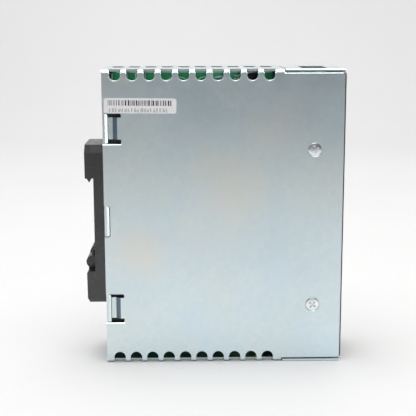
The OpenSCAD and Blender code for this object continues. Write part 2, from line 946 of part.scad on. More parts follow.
module tab_package(s0, s1, z) {
    half_w = 5;
    pitch = 2.5;
    blk([board_x - 15, board_x - 6], [s0, s1], [z - half_w, z + half_w]);
    leads(board_x - 6.2, [for (e = [-1, 0, 1]) [(s0 + s1) / 2, z + e * pitch]], 0.4);
}

module switch_transistor() {
    color([0.13, 0.13, 0.14])
        tab_package(42.1, 46.55, 56.4);
}

// E core halves around the bobbin, standing on the board
tr_s = 30;
tr_z = 76;
tr_x = board_x - 11.5;
core_half = 14;
leg_r = 4.8;
bobbin_half = 9.7;
bobbin_r = 5.8;
flange_at = 9.2;
flange_half = 0.5;

module transformer_core() {
    x = 5.5;
    open_s = 10.5;
    open_z = 10;
    color([0.22, 0.22, 0.23])
        difference() {
            blk([tr_x - x, tr_x + x], [tr_s - core_half, tr_s + core_half],
                [tr_z - core_half, tr_z + core_half]);
            difference() {
                blk([tr_x - x - 0.5, tr_x + x + 0.5], [tr_s - open_s, tr_s + open_s],
                    [tr_z - open_z, tr_z + open_z]);
                rod_z(tr_x, tr_s, tr_z - open_z, tr_z + open_z, leg_r);
            }
        }
}

module transformer_bobbin() {
    strip_half = 9;
    color([0.15, 0.16, 0.17]) {
        difference() {
            union() {
                rod_z(tr_x, tr_s, tr_z - bobbin_half, tr_z + bobbin_half, bobbin_r);
                for (e = [-1, 1])
                    rod_z(tr_x, tr_s, tr_z + e * flange_at - flange_half,
                        tr_z + e * flange_at + flange_half, 10.2);
            }
            rod_z(tr_x, tr_s, tr_z - 11, tr_z + 11, leg_r + fit_gap);
        }
        // pin strips between the core and the board
        for (e = [-1, 1]) {
            blk([tr_x + 5.9, board_x - 2], [tr_s - strip_half, tr_s + strip_half],
                [tr_z + e * flange_at - flange_half, tr_z + e * flange_at + flange_half]);
            for (p = [-7.5:3:7.5])
                rod_x(board_x - 2.2, board_x - face_gap, tr_s + p, tr_z + e * flange_at, pin_r);
        }
    }
}

module transformer_winding() {
    half = 8.6;
    color([0.9, 0.76, 0.25])
        difference() {
            rod_z(tr_x, tr_s, tr_z - half, tr_z + half, 9.8);
            rod_z(tr_x, tr_s, tr_z - half - 0.4, tr_z + half + 0.4, bobbin_r + fit_gap);
        }
}

module output_heatsink() {
    color([0.72, 0.73, 0.75])
        heatsink(19, [56, 58], [66, 104], 3, [0, 2]);
}

module output_diode() {
    color([0.13, 0.13, 0.14])
        tab_package(51.5, 55.95, 82);
}

module output_capacitors() {
    pitch = 2.5;
    color([0.16, 0.2, 0.3])
        for (p = can_at) {
            rod_x(board_x - 17, board_x - 0.6, p[0], p[1], 5);
            leads(board_x - 1, [for (e = [-pitch, pitch]) [p[0] + e, p[1]]], 0.4);
        }
}

// drum core with a flange at each end and a ribbed coil between them
module output_choke() {
    flange_r = 5;
    coil_pitch = 1.15;
    color([0.25, 0.22, 0.2])
        translate([board_x, 0, 0]) {
            rod_x(-15, -1, choke_at[0], choke_at[1], 3.2);
            rod_x(-16, -14, choke_at[0], choke_at[1], flange_r);
            rod_x(-2.5, -0.5, choke_at[0], choke_at[1], flange_r);
            for (i = [0:9])
                rod_x(-14 + i * coil_pitch, -13 + i * coil_pitch, choke_at[0], choke_at[1], 4.6);
        }
}

// flat package on the board: half its length and width, and its lead rows
module flat_package(p, half_s, half_z, lead_s) {
    blk([board_x - 4, board_x - 0.6], [p[0] - half_s, p[0] + half_s],
        [p[1] - half_z, p[1] + half_z]);
    leads(board_x - 1, [for (s = lead_s, e = [-1, 1]) [s, p[1] + e * (half_z + 0.3)]], pin_r);
}

module optocouplers() {
    color([0.15, 0.15, 0.16])
        for (s = opto_s)
            flat_package([s, opto_z], 3.2, 2.3, [s - 1.3, s + 1.3]);
}

module control_chip() {
    pitch = 2.54;
    color([0.12, 0.12, 0.13])
        flat_package(chip_at, 4.8, 3.2, [for (i = [0:3]) 16 + i * pitch]);
}

// ---- front controls ----

module trimmer_body() {
    color([0.16, 0.32, 0.62])
        difference() {
            blk([trim_at[0] - 3.4, trim_at[0] + 3.4], [88, 94.2],
                [trim_at[1] - 3.4, trim_at[1] + 3.4]);
            rod_s(trim_at[0], 90.4, 95, trim_at[1], 2.5);
            rod_s(trim_at[0], 89, 91, trim_at[1], 0.85);
        }
    color([0.8, 0.78, 0.7])
        for (e = [-1, 0, 1])
            blk([trim_at[0] + e * 2.2 - 0.25, trim_at[0] + e * 2.2 + 0.25],
                [face_board_s, 88.02], [trim_at[1] - 2.6, trim_at[1] - 2.1]);
}

module trimmer_rotor() {
    color([0.92, 0.92, 0.9])
        difference() {
            union() {
                rod_s(trim_at[0], 90.7, 95.4, trim_at[1], 2.3);
                rod_s(trim_at[0], 89.3, 90.8, trim_at[1], 0.8);
            }
            blk([trim_at[0] - 1.7, trim_at[0] + 1.7], [94.4, 96], [trim_at[1] - 0.35, trim_at[1] + 0.35]);
            blk([trim_at[0] - 0.35, trim_at[0] + 0.35], [94.4, 96], [trim_at[1] - 0.35, trim_at[1] + 1.7]);
        }
}

module status_lamp() {
    color([0.35, 0.8, 0.4]) {
        rod_s(lamp_at[0], 93.5, case_d - 1, lamp_at[1], 1.5);
        intersection() {
            translate([lamp_at[0], sy(case_d - 1), lamp_at[1]])
                sphere(r = 1.5);
            blk([lamp_at[0] - 2, lamp_at[0] + 2], [case_d - 1.1, case_d + 1],
                [lamp_at[1] - 2, lamp_at[1] + 2]);
        }
        rod_s(lamp_at[0], 92.7, 93.6, lamp_at[1], 1.8);
    }
    color([0.8, 0.78, 0.7])
        for (e = [-1, 1])
            blk([lamp_at[0] + e * 0.6 - 0.2, lamp_at[0] + e * 0.6 + 0.2],
                [face_board_s, 92.8], [lamp_at[1] - 0.2, lamp_at[1] + 0.2]);
}

// ---- what each node draws ----

side_cover();
chassis();
front_film();
side_screws();
serial_sticker();
rating_sticker();
insulating_sheet();
rail_clip();
rail_latch();
latch_spring();
clip_screws();
output_terminal_housing();
output_contact_bars();
output_screw(1);  // output_screw_1
output_screw(2);  // output_screw_2
output_screw(3);  // output_screw_3
output_screw(4);  // output_screw_4
output_cage(1);  // output_cage_1
output_cage(2);  // output_cage_2
output_cage(3);  // output_cage_3
output_cage(4);  // output_cage_4
input_terminal_housing();
input_contact_bars();
input_screw(1);  // input_screw_1
input_screw(2);  // input_screw_2
input_screw(3);  // input_screw_3
input_cage(1);  // input_cage_1
input_cage(2);  // input_cage_2
input_cage(3);  // input_cage_3
output_board();
input_board();
main_board();
board_spacers();
board_screws();
board_links();
fuse();
surge_varistor();
inrush_thermistor();
x_capacitor();
y_capacitors();
filter_choke_core();
filter_choke_windings();
bridge_rectifier();
bulk_capacitor();
input_heatsink();
switch_transistor();
transformer_core();
transformer_bobbin();
transformer_winding();
output_heatsink();
output_diode();
output_capacitors();
output_choke();
optocouplers();
control_chip();
trimmer_body();
trimmer_rotor();
status_lamp();
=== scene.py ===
"""Looks of the rail power supply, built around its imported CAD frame. Metres, row frame."""

import json
import math
import random

import bmesh
import bpy
from mathutils import Matrix, Vector


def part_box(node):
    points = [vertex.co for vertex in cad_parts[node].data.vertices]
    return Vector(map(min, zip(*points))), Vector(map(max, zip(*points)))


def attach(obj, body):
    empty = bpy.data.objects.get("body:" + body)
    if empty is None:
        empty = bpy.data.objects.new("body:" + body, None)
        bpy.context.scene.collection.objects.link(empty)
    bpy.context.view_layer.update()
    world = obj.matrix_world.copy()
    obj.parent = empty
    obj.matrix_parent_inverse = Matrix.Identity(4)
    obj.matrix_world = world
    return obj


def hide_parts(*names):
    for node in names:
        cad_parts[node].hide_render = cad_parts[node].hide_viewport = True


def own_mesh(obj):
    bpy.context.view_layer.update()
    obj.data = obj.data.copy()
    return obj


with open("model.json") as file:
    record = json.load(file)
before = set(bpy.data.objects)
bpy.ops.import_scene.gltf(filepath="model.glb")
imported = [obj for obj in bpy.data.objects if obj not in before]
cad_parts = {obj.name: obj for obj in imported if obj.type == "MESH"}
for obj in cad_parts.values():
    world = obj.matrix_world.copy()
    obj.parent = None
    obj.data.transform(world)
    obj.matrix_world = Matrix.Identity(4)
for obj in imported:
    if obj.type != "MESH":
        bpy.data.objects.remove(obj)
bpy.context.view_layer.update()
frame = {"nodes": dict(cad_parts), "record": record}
NODES = frame["nodes"]
MM = 0.001
REAR_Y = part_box("side_cover")[1][1]
# planes of the case in millimetres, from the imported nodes
NEAR_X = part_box("side_cover")[0][0] / MM
FAR_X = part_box("chassis")[1][0] / MM
BOARD_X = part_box("main_board")[0][0] / MM
FILM_S = (REAR_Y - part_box("front_film")[0][1]) / MM
CASE_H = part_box("side_cover")[1][2] / MM
# places in millimetres on the side sheet: s forward from the rear face, z up
SCREW_S = 88
SCREW_Z = (25.4, 92)
WINDOW_Z = (24.1, 100.9)
# places of parts on the board, as (s, z)
CANS = ((70, 56), (70, 68.5), (69, 84), (62.4, 118.2))
BULK_CAN = (24, 42)
FILTER_CHOKE = (34, 16)
OUTPUT_CHOKE = (69, 96.5)
FUSE_S = 66
OPTOCOUPLER_S = (34, 44)
# the controls on the front film, as (x, z)
TRIMMER = (2.5, 96)
LAMP = (-5.5, 96)
# how far print lies off its surface, and off the sheet where a sticker 0.12 thick is between
PRINT_LIFT = 0.012
STICKER_PRINT_LIFT = 0.135
KEY_POWER = 15.2
SWEEP_POWER = 6.8
FILL_POWER = 0.4
CARD_POWER = 0.9
WORLD_POWER = 0.2


# ---------------------------------------------------------------- material tools


class Mat:
    """A node material with short ways to add the textures that every finish uses."""

    def __init__(self, name, color, metallic=0.0, roughness=0.5):
        self.mat = bpy.data.materials.new(name)
        self.mat.use_nodes = True
        self.tree = self.mat.node_tree
        self.bsdf = self.tree.nodes["Principled BSDF"]
        self.bsdf.inputs["Base Color"].default_value = (*color, 1)
        self.bsdf.inputs["Metallic"].default_value = metallic
        self.bsdf.inputs["Roughness"].default_value = roughness
        self.color = color
        self.roughness = roughness
        self.coord = self.tree.nodes.new("ShaderNodeTexCoord").outputs["Object"]

    def node(self, kind, **values):
        made = self.tree.nodes.new(kind)
        for key, value in values.items():
            if hasattr(made, key):
                setattr(made, key, value)
        return made

    def link(self, a, b):
        self.tree.links.new(a, b)

    def stretched(self, stretch):
        """Object coordinates scaled per axis, for grain that runs one way."""
        made = self.node("ShaderNodeMapping")
        made.inputs["Scale"].default_value = stretch
        self.link(self.coord, made.inputs["Vector"])
        return made.outputs["Vector"]

    def noise(self, scale, detail=4.0, stretch=None, rough=0.5):
        made = self.node("ShaderNodeTexNoise")
        made.inputs["Scale"].default_value = scale
        made.inputs["Detail"].default_value = detail
        made.inputs["Roughness"].default_value = rough
        self.link(self.stretched(stretch) if stretch else self.coord, made.inputs["Vector"])
        return made.outputs["Fac"]

    def cells(self, scale, stretch=None):
        """A random value for each cell of a Voronoi pattern."""
        made = self.node("ShaderNodeTexVoronoi")
        made.inputs["Scale"].default_value = scale
        self.link(self.stretched(stretch) if stretch else self.coord, made.inputs["Vector"])
        split = self.node("ShaderNodeSeparateColor")
        self.link(made.outputs["Color"], split.inputs["Color"])
        return split.outputs["Red"]

    def ramp(self, value, stops):
        made = self.node("ShaderNodeValToRGB")
        elements = made.color_ramp.elements
        while len(elements) < len(stops):
            elements.new(0.5)
        for element, (place, color) in zip(elements, stops, strict=True):
            element.position = place
            element.color = (*color, 1)
        self.link(value, made.inputs["Fac"])
        return made.outputs["Color"]

    def remap(self, value, low, high, from_low=0.3, from_high=0.7):
        made = self.node("ShaderNodeMapRange")
        made.inputs["From Min"].default_value = from_low
        made.inputs["From Max"].default_value = from_high
        made.inputs["To Min"].default_value = low
        made.inputs["To Max"].default_value = high
        self.link(value, made.inputs["Value"])
        return made.outputs["Result"]

    def mix(self, factor, a, b):
        made = self.node("ShaderNodeMix", data_type="RGBA")
        for socket, value in ((0, factor), (6, a), (7, b)):
            if isinstance(value, (int, float)):
                made.inputs[socket].default_value = value
            elif isinstance(value, tuple):
                made.inputs[socket].default_value = (*value, 1)
            else:
                self.link(value, made.inputs[socket])
        return made.outputs[2]

    def math(self, operation, a, b=0.0):
        made = self.node("ShaderNodeMath", operation=operation)
        for socket, value in ((0, a), (1, b)):
            if isinstance(value, (int, float)):
                made.inputs[socket].default_value = value
            else:
                self.link(value, made.inputs[socket])
        return made.outputs[0]

    def axis(self, letter):
        split = self.node("ShaderNodeSeparateXYZ")
        self.link(self.coord, split.inputs[0])
        return split.outputs[letter]

    def to_color(self, value):
        self.link(value, self.bsdf.inputs["Base Color"])

    def to_rough(self, value):
        self.link(value, self.bsdf.inputs["Roughness"])

    def bump(self, value, strength, distance):
        made = self.node("ShaderNodeBump")
        made.inputs["Strength"].default_value = strength
        made.inputs["Distance"].default_value = distance
        self.link(value, made.inputs["Height"])
        self.link(made.outputs["Normal"], self.bsdf.inputs["Normal"])


def shade(color, factor):
    return tuple(min(1.0, c * factor) for c in color)


# warm stains in the zinc of the near side sheet: y, z, radius and strength
STAINS = [
    (0.0305, 0.048, 0.012, 0.75),
    (-0.0065, 0.076, 0.016, 0.6),
    (-0.0255, 0.1, 0.013, 0.4),
    (0.0065, 0.054, 0.01, 0.3),
]


def stain_mask(m):
    """Soft round patches, broken up by noise."""
    wander = m.remap(m.noise(60, 4), -0.004, 0.004, 0.2, 0.8)
    total = None
    for y, z, radius, strength in STAINS:
        dy = m.math("SUBTRACT", m.math("ADD", m.axis("Y"), wander), y)
        dz = m.math("SUBTRACT", m.math("ADD", m.axis("Z"), wander), z)
        away = m.math("SQRT", m.math("ADD", m.math("MULTIPLY", dy, dy), m.math("MULTIPLY", dz, dz)))
        spot = m.remap(away, strength, 0.0, radius * 0.25, radius * 1.35)
        total = spot if total is None else m.math("MAXIMUM", total, spot)
    return total


def ramp_painted_shade_mask(m):
    """Painted shade on the drawn ramp of each window tab, where the ramp would mirror the tab's dark cut
    edge: inside the sheet, at both windows.
    """
    depth = m.math("SUBTRACT", REAR_Y, m.axis("Y"))
    on_ramp = m.math("MULTIPLY", m.remap(depth, 0, 1, 0.0040, 0.0044), m.remap(depth, 1, 0, 0.0064, 0.0068))
    under_skin = m.math("GREATER_THAN", m.axis("X"), -0.01597)
    near_sheet = m.math("LESS_THAN", m.axis("X"), -0.0135)
    inside = m.math("MULTIPLY", under_skin, near_sheet)
    at_window = None
    for z in WINDOW_Z:
        near = m.math("LESS_THAN", m.math("ABSOLUTE", m.math("SUBTRACT", m.axis("Z"), z * MM)), 0.006)
        at_window = near if at_window is None else m.math("MAXIMUM", at_window, near)
    return m.math("MULTIPLY", m.math("MULTIPLY", on_ramp, inside), at_window)


def zinc_sheet():
    """Zinc plated steel: cool grey, a faint spangle, soft vertical drift and a few warm smudges, with
    painted shade on the window tabs' ramps.
    """
    m = Mat("zinc_sheet", (0.62, 0.71, 0.72), 1.0, 0.4)
    spangle = m.cells(420)
    fine = m.noise(1300, 3)
    cloud = m.noise(38, 4)
    base = m.ramp(spangle, [(0.0, (0.738, 0.842, 0.87)), (1.0, (0.775, 0.868, 0.89))])
    patches = m.ramp(m.noise(26, 5, rough=0.55), [(0.38, (0.93, 0.965, 1.0)), (0.62, (1.0, 0.985, 0.955))])
    tinted = m.node("ShaderNodeMix", data_type="RGBA", blend_type="MULTIPLY")
    tinted.inputs[0].default_value = 1.0
    m.link(base, tinted.inputs[6])
    m.link(patches, tinted.inputs[7])
    stained = m.mix(stain_mask(m), tinted.outputs[2], (0.83, 0.83, 0.775))
    # painted shade: the window tabs' ramps are darkened to a dark blue-grey
    m.to_color(m.mix(ramp_painted_shade_mask(m), stained, (0.16, 0.22, 0.28)))
    rough = m.math("ADD", m.remap(cloud, 0.3, 0.36), m.remap(spangle, -0.01, 0.01, 0.0, 1.0))
    m.to_rough(rough)
    m.bump(fine, 0.05, 0.00005)
    return m.mat


def plated_steel(name, color, rough, grain=700):
    m = Mat(name, color, 1.0, rough)
    drift = m.noise(grain, 4)
    m.to_color(m.ramp(drift, [(0.3, shade(color, 0.86)), (0.7, shade(color, 1.08))]))
    m.to_rough(m.remap(m.noise(grain * 2, 3), rough - 0.07, rough + 0.09))
    m.bump(m.noise(grain * 4, 2), 0.08, 0.00003)
    return m.mat


def moulded(name, color, rough=0.55, grain=2600, depth=0.25, gloss=0.5):
    """Injection moulded plastic with a spark-eroded grain and slight sheen changes."""
    m = Mat(name, color, 0.0, rough)
    cloud = m.noise(60, 3)
    m.to_color(m.ramp(cloud, [(0.3, shade(color, 0.85)), (0.7, shade(color, 1.18))]))
    m.to_rough(m.remap(m.noise(300, 4), rough - 0.07, rough + 0.1))
    m.bump(m.noise(grain, 2), depth, 0.00004)
    m.bsdf.inputs["Specular IOR Level"].default_value = gloss
    return m.mat


def dipped(name, color, rough=0.22):
    """Epoxy dip: glossy, slightly uneven, a little darker where it is thick."""
    m = Mat(name, color, 0.0, rough)
    drift = m.noise(260, 3)
    m.to_color(m.ramp(drift, [(0.3, shade(color, 0.8)), (0.7, shade(color, 1.15))]))
    m.to_rough(m.remap(m.noise(500, 2), rough - 0.05, rough + 0.12))
    m.bump(drift, 0.2, 0.0002)
    m.bsdf.inputs["Coat Weight"].default_value = 0.3
    return m.mat


def board_green():
    """Solder mask over copper: traces run in two directions and show as a lighter green."""
    m = Mat("board_green", (0.02, 0.2, 0.09), 0.0, 0.28)
    along = m.cells(160, (1, 1, 0.16))
    across = m.cells(130, (1, 0.14, 1))
    copper = m.math("MAXIMUM", m.remap(along, 0, 1, 0.55, 0.6), m.remap(across, 0, 1, 0.62, 0.66))
    base = m.mix(copper, (0.02, 0.3, 0.12), (0.04, 0.46, 0.18))
    m.to_color(m.mix(m.remap(m.noise(500, 3), 0, 0.2), base, (0.015, 0.2, 0.08)))
    m.to_rough(m.remap(m.noise(200, 3), 0.22, 0.38))
    m.bump(copper, 0.5, 0.00004)
    return m.mat


def ferrite():
    m = Mat("ferrite", (0.06, 0.06, 0.065), 0.35, 0.6)
    speck = m.noise(1600, 5)
    m.to_color(m.ramp(speck, [(0.35, (0.03, 0.03, 0.033)), (0.7, (0.1, 0.1, 0.105))]))
    m.to_rough(m.remap(speck, 0.5, 0.75))
    m.bump(speck, 0.3, 0.00005)
    return m.mat


def sleeve(name, color):
    """Shrink sleeve of a capacitor: glossy, with a pale stripe down one side."""
    m = Mat(name, color, 0.0, 0.25)
    wrinkle = m.noise(240, 3, (0.3, 1, 1))
    m.to_color(m.ramp(wrinkle, [(0.3, shade(color, 0.8)), (0.7, shade(color, 1.4))]))
    m.to_rough(m.remap(wrinkle, 0.18, 0.34))
    m.bump(wrinkle, 0.2, 0.0001)
    return m.mat


def winding_tape():
    m = Mat("winding_tape", (0.8, 0.55, 0.07), 0.0, 0.3)
    layer = m.node("ShaderNodeTexWave", bands_direction="Z")
    layer.inputs["Scale"].default_value = 130
    layer.inputs["Distortion"].default_value = 0.6
    m.link(m.coord, layer.inputs["Vector"])
    m.to_color(m.ramp(layer.outputs["Fac"], [(0.1, (0.66, 0.42, 0.04)), (0.6, (0.84, 0.6, 0.1))]))
    m.to_rough(m.remap(m.noise(400, 2), 0.22, 0.4))
    m.bump(layer.outputs["Fac"], 0.15, 0.0001)
    return m.mat


def copper_wire():
    m = Mat("copper_wire", (0.62, 0.24, 0.08), 1.0, 0.3)
    drift = m.noise(700, 3)
    m.to_color(m.ramp(drift, [(0.3, (0.5, 0.17, 0.05)), (0.7, (0.72, 0.32, 0.12))]))
    m.to_rough(m.remap(drift, 0.22, 0.4))
    m.bsdf.inputs["Coat Weight"].default_value = 0.5
    return m.mat


def paper(name, color, rough=0.5):
    m = Mat(name, color, 0.0, rough)
    fibre = m.noise(1500, 4, (1, 1, 2))
    m.to_color(m.ramp(fibre, [(0.3, shade(color, 0.965)), (0.7, color)]))
    m.to_rough(m.remap(fibre, rough - 0.05, rough + 0.08))
    m.bump(fibre, 0.05, 0.00003)
    m.bsdf.inputs["Specular IOR Level"].default_value = 1.0
    return m.mat


def ink(name, color):
    m = Mat(name, color, 0.0, 0.5)
    spread = m.noise(3000, 3)
    m.to_color(m.ramp(spread, [(0.3, shade(color, 0.8)), (0.75, shade(color, 1.3))]))
    m.to_rough(m.remap(spread, 0.42, 0.6))
    return m.mat


def lamp_lens():
    m = Mat("lamp_lens", (0.12, 0.6, 0.22), 0.0, 0.12)
    cloud = m.noise(600, 2)
    m.to_color(m.ramp(cloud, [(0.3, (0.08, 0.5, 0.18)), (0.7, (0.16, 0.7, 0.28))]))
    m.bsdf.inputs["Transmission Weight"].default_value = 0.35
    return m.mat


MATERIALS = {
    "zinc_sheet": zinc_sheet(),
    "front_film": moulded("front_film", (0.035, 0.037, 0.042), 0.5, 4000, 0.12),
    "plated_screw": plated_steel("plated_screw", (0.88, 0.91, 0.95), 0.2, 260),
    "sticker_white": paper("sticker_white", (0.99, 0.99, 0.995), 0.3),
    "sticker_silver": paper("sticker_silver", (0.66, 0.67, 0.68), 0.38),
    "insulation": moulded("insulation", (0.7, 0.69, 0.62), 0.35, 1200, 0.1),
    "clip_plastic": moulded("clip_plastic", (0.011, 0.011, 0.0125), 0.3, 2600, 0.1, 0.95),
    "latch_plastic": moulded("latch_plastic", (0.009, 0.009, 0.01), 0.3, 2600, 0.1, 0.8),
    "spring_wire": plated_steel("spring_wire", (0.55, 0.56, 0.58), 0.3, 1500),
    "terminal_plastic": moulded("terminal_plastic", (0.02, 0.11, 0.06), 0.48),
    "tinned_copper": plated_steel("tinned_copper", (0.72, 0.69, 0.62), 0.3),
    "board_green": board_green(),
    "fuse_ceramic": dipped("fuse_ceramic", (0.72, 0.7, 0.64), 0.3),
    "varistor_blue": dipped("varistor_blue", (0.03, 0.1, 0.36)),
    "thermistor_black": moulded("thermistor_black", (0.03, 0.035, 0.03), 0.6, 1400, 0.4),
    "film_capacitor_yellow": dipped("film_capacitor_yellow", (0.7, 0.42, 0.03), 0.32),
    "disc_blue": dipped("disc_blue", (0.4, 0.74, 1.0), 0.25),
    "ferrite": ferrite(),
    "copper_wire": copper_wire(),
    "black_epoxy": moulded("black_epoxy", (0.02, 0.02, 0.022), 0.5, 1800, 0.35),
    "capacitor_sleeve_dark": sleeve("capacitor_sleeve_dark", (0.015, 0.018, 0.035)),
    "heatsink_aluminium": plated_steel("heatsink_aluminium", (0.62, 0.63, 0.65), 0.42, 350),
    "bobbin_black": moulded("bobbin_black", (0.03, 0.03, 0.034), 0.4),
    "winding_tape": winding_tape(),
    "clamp_screw": plated_steel("clamp_screw", (0.66, 0.67, 0.68), 0.3),
    "cage_steel": plated_steel("cage_steel", (0.58, 0.58, 0.57), 0.34),
    "trimmer_blue": dipped("trimmer_blue", (0.03, 0.12, 0.38), 0.35),
    "trimmer_white": moulded("trimmer_white", (0.78, 0.78, 0.75), 0.4),
    "lamp_green": lamp_lens(),
}
INK_BLACK = ink("ink_black", (0.05, 0.05, 0.055))
INK_WHITE = ink("ink_white", (0.82, 0.82, 0.8))
SILKSCREEN = ink("silkscreen", (0.97, 0.97, 0.95))


# ---------------------------------------------------------------- mesh tools


def finish_mesh(name, bm, material, body, smooth=True):
    """Turns a bmesh into a piece that rides on a CAD body."""
    bmesh.ops.recalc_face_normals(bm, faces=bm.faces)
    mesh = bpy.data.meshes.new(name)
    bm.to_mesh(mesh)
    bm.free()
    for polygon in mesh.polygons:
        polygon.use_smooth = smooth
    piece = bpy.data.objects.new(name, mesh)
    bpy.context.scene.collection.objects.link(piece)
    mesh.materials.append(material)
    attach(piece, body)
    return piece


def add_box(bm, low, high):
    size = Vector(high) - Vector(low)
    centre = (Vector(high) + Vector(low)) / 2
    made = bmesh.ops.create_cube(bm, size=1.0)
    bmesh.ops.scale(bm, vec=size, verts=made["verts"])
    bmesh.ops.translate(bm, vec=centre, verts=made["verts"])
    return made["verts"]


def at(x, s, z):
    """A place from millimetres: x across, s forward from the rear face, z up."""
    return Vector((x * MM, REAR_Y - s * MM, z * MM))


def across_axis(axis):
    """Two directions square to an axis, and the axis, as unit vectors."""
    turns = {
        "x": ((0, 1, 0), (0, 0, 1), (1, 0, 0)),
        "y": ((0, 0, 1), (1, 0, 0), (0, 1, 0)),
        "z": ((1, 0, 0), (0, 1, 0), (0, 0, 1)),
    }
    return [Vector(v) for v in turns[axis]]


def add_lathe(bm, centre, axis, profile, steps=48):
    """Turns a profile of (radius, height) in millimetres around an axis through centre."""
    u, v, w = across_axis(axis)
    rings = []
    for radius, height in profile:
        if radius <= 0:
            rings.append([bm.verts.new(centre + w * height * MM)])
            continue
        ring = []
        for i in range(steps):
            a = 2 * math.pi * i / steps
            out = (u * math.cos(a) + v * math.sin(a)) * radius * MM
            ring.append(bm.verts.new(centre + w * height * MM + out))
        rings.append(ring)
    for a, b in zip(rings, rings[1:]):
        for i in range(steps):
            j = (i + 1) % steps
            corners = [a[i % len(a)], a[j % len(a)], b[j % len(b)], b[i % len(b)]]
            distinct = list(dict.fromkeys(corners))
            if len(distinct) > 2:
                bm.faces.new(distinct)


def add_tube(bm, line, radius, sides=10):
    """Sweeps a round wire along a line of places, with closed ends. radius is in millimetres."""
    ahead = [(line[min(i + 1, len(line) - 1)] - line[max(i - 1, 0)]).normalized() for i in range(len(line))]
    side = ahead[0].orthogonal().normalized()
    rings = []
    for place, forward in zip(line, ahead):
        side = (side - forward * side.dot(forward)).normalized()
        up = forward.cross(side)
        ring = []
        for k in range(sides):
            a = 2 * math.pi * k / sides
            ring.append(bm.verts.new(place + (side * math.cos(a) + up * math.sin(a)) * radius * MM))
        rings.append(ring)
    for a, b in zip(rings, rings[1:]):
        for k in range(sides):
            bm.faces.new((a[k], a[(k + 1) % sides], b[(k + 1) % sides], b[k]))
    bm.faces.new(rings[0])
    bm.faces.new(rings[-1])


def add_print(name, marks, place, material, body="case"):
    """Flat printed marks, which place turns into points in space. A mark is a rectangle
    (u0, v0, u1, v1) or a list of four corners."""
    mesh = bpy.data.meshes.new(name)
    points, faces = [], []
    for mark in marks:
        if isinstance(mark, tuple):
            u0, v0, u1, v1 = mark
            mark = [(u0, v0), (u1, v0), (u1, v1), (u0, v1)]
        first = len(points)
        points += [place(u, v) for u, v in mark]
        faces.append((first, first + 1, first + 2, first + 3))
    mesh.from_pydata(points, [], faces)
    mesh.materials.append(material)
    piece = bpy.data.objects.new(name, mesh)
    bpy.context.scene.collection.objects.link(piece)
    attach(piece, body)
    return piece


def frame_marks(u0, v0, u1, v1, line):
    """Four strokes around a rectangle."""
    level = [(u0, v0, u1, v0 + line), (u0, v1 - line, u1, v1)]
    upright = [(u0, v0, u0 + line, v1), (u1 - line, v0, u1, v1)]
    return level + upright


def ring_marks(u, v, radius, line, steps=48):
    """A printed circle."""
    marks = []
    for i in range(steps):
        corners = []
        for k, r in ((i, radius), (i + 1, radius), (i + 1, radius + line), (i, radius + line)):
            a = 2 * math.pi * k / steps
            corners.append((u + r * math.cos(a), v + r * math.sin(a)))
        marks.append(corners)
    return marks


def soften(piece, width, segments=2, angle=30):
    """Rounds a piece's sharp edges a little."""
    bevel = piece.modifiers.new("edge_round", "BEVEL")
    bevel.width = width
    bevel.segments = segments
    bevel.limit_method = "ANGLE"
    bevel.angle_limit = math.radians(angle)
    bevel.harden_normals = False
    return piece


# ---------------------------------------------------------------- CAD nodes' finishes


EDGE_ROUND = {
    "side_cover": 0.00018,
    "chassis": 0.00018,
    "rail_clip": 0.0003,
    "rail_latch": 0.0003,
}


def dress_cad_nodes():
    for row in frame["record"]["subparts"]:
        node = NODES[row["node"]]
        node.data.materials.clear()
        node.data.materials.append(MATERIALS[row["material_slot"]])
    for name, width in EDGE_ROUND.items():
        weld = NODES[name].modifiers.new("weld", "WELD")
        weld.merge_threshold = 0.000002
        soften(NODES[name], width)
        NODES[name].modifiers.new("even_normals", "WEIGHTED_NORMAL").keep_sharp = True


# ---------------------------------------------------------------- printed marks


def print_serial_sticker():
    """A generic bar pattern over a row of small marks, on the tilted sticker."""
    rng = random.Random(31)
    tilt = math.radians(0.65)
    middle = at(NEAR_X - STICKER_PRINT_LIFT, 15.7, 110.4)

    turn = Matrix.Rotation(tilt, 3, "X")

    def place(u, v):
        return middle + turn @ Vector((0, -u * MM, v * MM))

    bars, marks = [], []
    u = -13.2
    while u < 12.9:
        width = rng.choice((0.2, 0.3, 0.45, 0.62))
        bars.append((u, 0.05, u + width, 2.25))
        u += width + rng.choice((0.25, 0.4, 0.6))
    for i in range(19):
        u = -12.8 + 1.3 * i
        for k in range(rng.choice((2, 3))):
            marks.append((u + 0.34 * k, -2.65, u + 0.34 * k + 0.12, -0.95 - rng.choice((0, 0.5))))
    add_print("sticker_bars", bars + marks, place, INK_BLACK)


def print_rating_sticker():
    """Rules, short dashes and a bar block that fill the far side's sticker, with no lettering."""
    rng = random.Random(7)

    def place(s, z):
        return at(FAR_X + STICKER_PRINT_LIFT, s, z)

    marks = frame_marks(19, 31, 65, 97, 0.25)
    for z in (88, 76, 64, 46):
        marks.append((20, z, 64, z + 0.18))
    for z in (93.5, 91, 85, 82.6, 80.2, 73, 70.6, 68.2, 61, 58.6, 56.2, 53.8, 51.4, 49):
        s = 21.5
        while s < 60:
            width = rng.uniform(1.2, 4.5)
            marks.append((s, z, min(s + width, 62.5), z + 0.8))
            s += width + rng.uniform(0.7, 1.8)
    s = 22
    while s < 48:
        width = rng.choice((0.25, 0.5, 0.75))
        marks.append((s, 34, s + width, 42.5))
        s += width + rng.choice((0.3, 0.5))
    add_print("rating_marks", marks, place, INK_BLACK)


